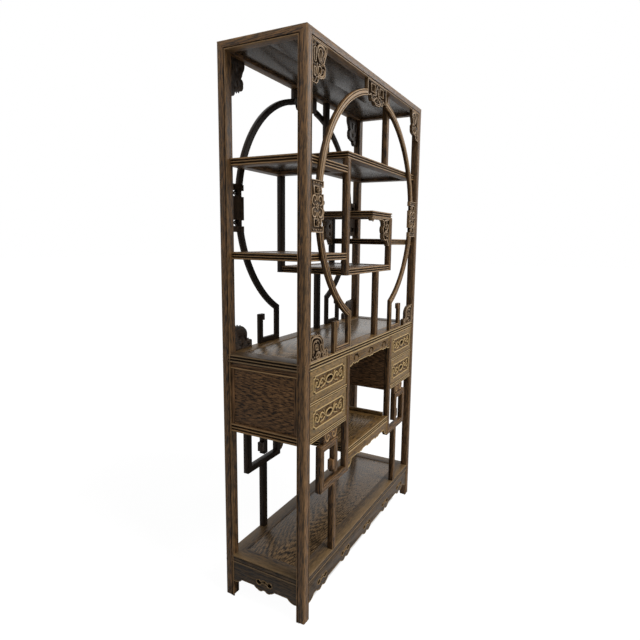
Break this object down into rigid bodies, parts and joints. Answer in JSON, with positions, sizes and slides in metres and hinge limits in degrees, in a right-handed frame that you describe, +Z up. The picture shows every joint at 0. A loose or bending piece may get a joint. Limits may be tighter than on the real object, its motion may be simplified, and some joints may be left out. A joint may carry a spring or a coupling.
{
  "type": "curio shelf",
  "caption": "Open wooden display stand with a round moon lattice, stepped shelves, a kneehole desk with drawers and a low base board.",
  "frame": {"origin": "centre of the footprint on the floor", "axes": "+Z up, +X to the viewer's right, the front faces -Y"},
  "size_m": [1.08, 0.35, 2],
  "materials": {
    "frame_wood": "waxed satin",
    "panel_wood": "waxed satin",
    "carved_wood": "waxed satin",
    "drawer_wood": "bare matt"
  },
  "bodies": {
    "shelf_body": {"base_apron_back": "frame_wood", "base_apron_front": "frame_wood", "base_apron_left": "frame_wood", "base_apron_right": "frame_wood", "base_back_rail": "frame_wood", "base_end_rails": "frame_wood", "base_front_rail": "frame_wood", "base_panel": "panel_wood", "cabinet_carcass_left": "panel_wood", "cabinet_carcass_right": "panel_wood", "cabinet_rails": "frame_wood", "corner_post_left_back": "frame_wood", "corner_post_left_front": "frame_wood", "corner_post_right_back": "frame_wood", "corner_post_right_front": "frame_wood", "corner_spandrels_back": "carved_wood", "corner_spandrels_front": "carved_wood", "crown_medallion_back": "carved_wood", "crown_medallion_front": "carved_wood", "desk_back_rail": "frame_wood", "desk_brackets_back": "carved_wood", "desk_brackets_front": "carved_wood", "desk_end_rails": "frame_wood", "desk_front_rail": "frame_wood", "desk_panel": "panel_wood", "divider_posts_back": "frame_wood", "divider_posts_front": "frame_wood", "frets_back": "frame_wood", "frets_front": "frame_wood", "kneehole_aprons": "frame_wood", "kneehole_shelf": "frame_wood", "kneehole_shelf_trim": "frame_wood", "moon_ring_back": "frame_wood", "moon_ring_front": "frame_wood", "shelf_box_floor": "frame_wood", "shelf_lower_left": "frame_wood", "shelf_posts_back": "frame_wood", "shelf_posts_front": "frame_wood", "shelf_small_right": "frame_wood", "shelf_small_top": "frame_wood", "shelf_upper_left": "frame_wood", "shelf_upper_right": "frame_wood", "side_medallion_back_left": "carved_wood", "side_medallion_back_right": "carved_wood", "side_medallion_front_left": "carved_wood", "side_medallion_front_right": "carved_wood", "small_spandrels": "carved_wood", "top_back_rail": "frame_wood", "top_end_rails": "frame_wood", "top_front_rail": "frame_wood", "top_panel": "panel_wood"},
    "drawer_upper_left": {"drawer_upper_left_front": "frame_wood", "drawer_upper_left_box": "drawer_wood"},
    "drawer_upper_right": {"drawer_upper_right_front": "frame_wood", "drawer_upper_right_box": "drawer_wood"},
    "drawer_lower_left": {"drawer_lower_left_front": "frame_wood", "drawer_lower_left_box": "drawer_wood"},
    "drawer_lower_right": {"drawer_lower_right_front": "frame_wood", "drawer_lower_right_box": "drawer_wood"}
  },
  "joints": [
    {"name": "drawer_upper_left_slide", "type": "slide", "parent": "shelf_body", "child": "drawer_upper_left", "axis": [0, -1, 0], "range_m": [0, 0.22]},
    {"name": "drawer_upper_right_slide", "type": "slide", "parent": "shelf_body", "child": "drawer_upper_right", "axis": [0, -1, 0], "range_m": [0, 0.22]},
    {"name": "drawer_lower_left_slide", "type": "slide", "parent": "shelf_body", "child": "drawer_lower_left", "axis": [0, -1, 0], "range_m": [0, 0.22]},
    {"name": "drawer_lower_right_slide", "type": "slide", "parent": "shelf_body", "child": "drawer_lower_right", "axis": [0, -1, 0], "range_m": [0, 0.22]}
  ]
}
